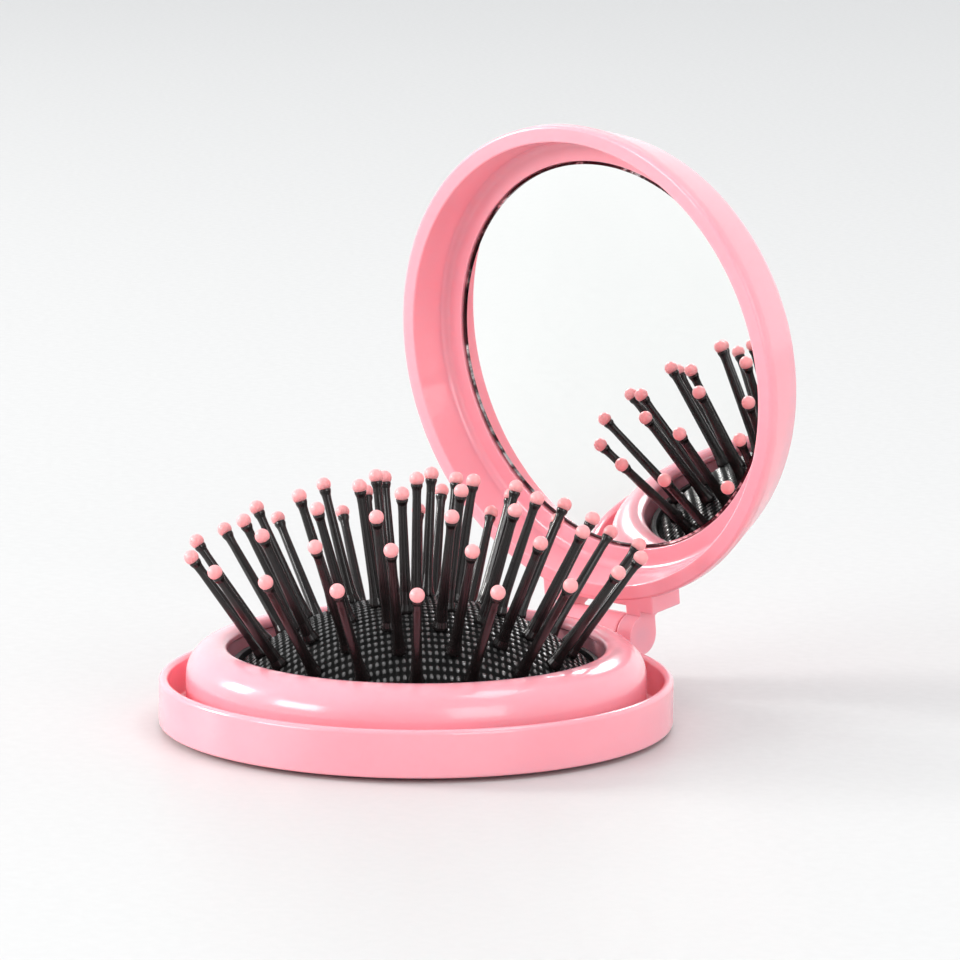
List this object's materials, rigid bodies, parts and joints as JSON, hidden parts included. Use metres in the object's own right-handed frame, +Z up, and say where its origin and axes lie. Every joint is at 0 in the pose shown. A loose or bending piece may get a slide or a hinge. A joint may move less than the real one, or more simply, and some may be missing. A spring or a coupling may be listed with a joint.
{
  "type": "folding hairbrush",
  "caption": "Round pocket hairbrush with ball-tipped bristles on a domed rubber cushion, under a hinged lid that holds a mirror.",
  "frame": {"origin": "centre of the foot's flat face, where the brush stands on the table", "axes": "+Z up through the cushion's crown, +Y towards the hinge, X along the hinge's axis"},
  "size_m": [0.065, 0.0761, 0.0742],
  "materials": {
    "pink_shell": "glossy moulded plastic, pale pink",
    "pink_tip": "satin dipped plastic balls, pink",
    "black_bristle": "semi-gloss moulded nylon, black",
    "black_rubber": "matte rubber with a fine raised mesh, black",
    "black_plate": "matte moulded plastic, black",
    "steel_pin": "plain drawn steel",
    "mirror": "silvered glass with a ground edge",
    "foam": "adhesive foam"
  },
  "bodies": {
    "dish": {"push_dish": "pink_shell"},
    "frame": {"base_ring": "pink_shell", "collar": "pink_shell", "hinge_pin": "steel_pin"},
    "pad": {"bristle_plate": "black_plate", "cushion_clamp": "black_plate", "cushion": "black_rubber", "bristle_center": "black_bristle", "bristle_row_1": "black_bristle", "bristle_row_2": "black_bristle", "bristle_row_3": "black_bristle", "bristle_row_4": "black_bristle", "tip_center": "pink_tip", "tip_row_1": "pink_tip", "tip_row_2": "pink_tip", "tip_row_3": "pink_tip", "tip_row_4": "pink_tip"},
    "lid": {"lid_shell": "pink_shell", "mirror_bezel": "pink_shell", "mirror_glass": "mirror", "mirror_backing": "foam"}
  },
  "joints": [
    {"name": "frame_lift", "type": "slide", "parent": "dish", "child": "frame", "axis": [0, 0, 1], "range_m": [0, 0.00701]},
    {"name": "pad_drop", "type": "slide", "parent": "dish", "child": "pad", "axis": [0, 0, 1], "range_m": [-0.00361, 0], "deforming": ["cushion", "bristle_center", "bristle_row_1", "bristle_row_2", "bristle_row_3", "bristle_row_4", "tip_center", "tip_row_1", "tip_row_2", "tip_row_3", "tip_row_4"]},
    {"name": "lid_hinge", "type": "hinge", "parent": "frame", "child": "lid", "pos_m": [0, 0.03565, 0.0073], "axis": [-1, 0, 0], "range_deg": [-83, 0]}
  ],
  "couplings": [
    {"joint": "frame_lift", "follows": "lid_hinge", "m_per_rad": -0.0048322},
    {"joint": "pad_drop", "follows": "lid_hinge", "m_per_rad": 0.0024851}
  ]
}
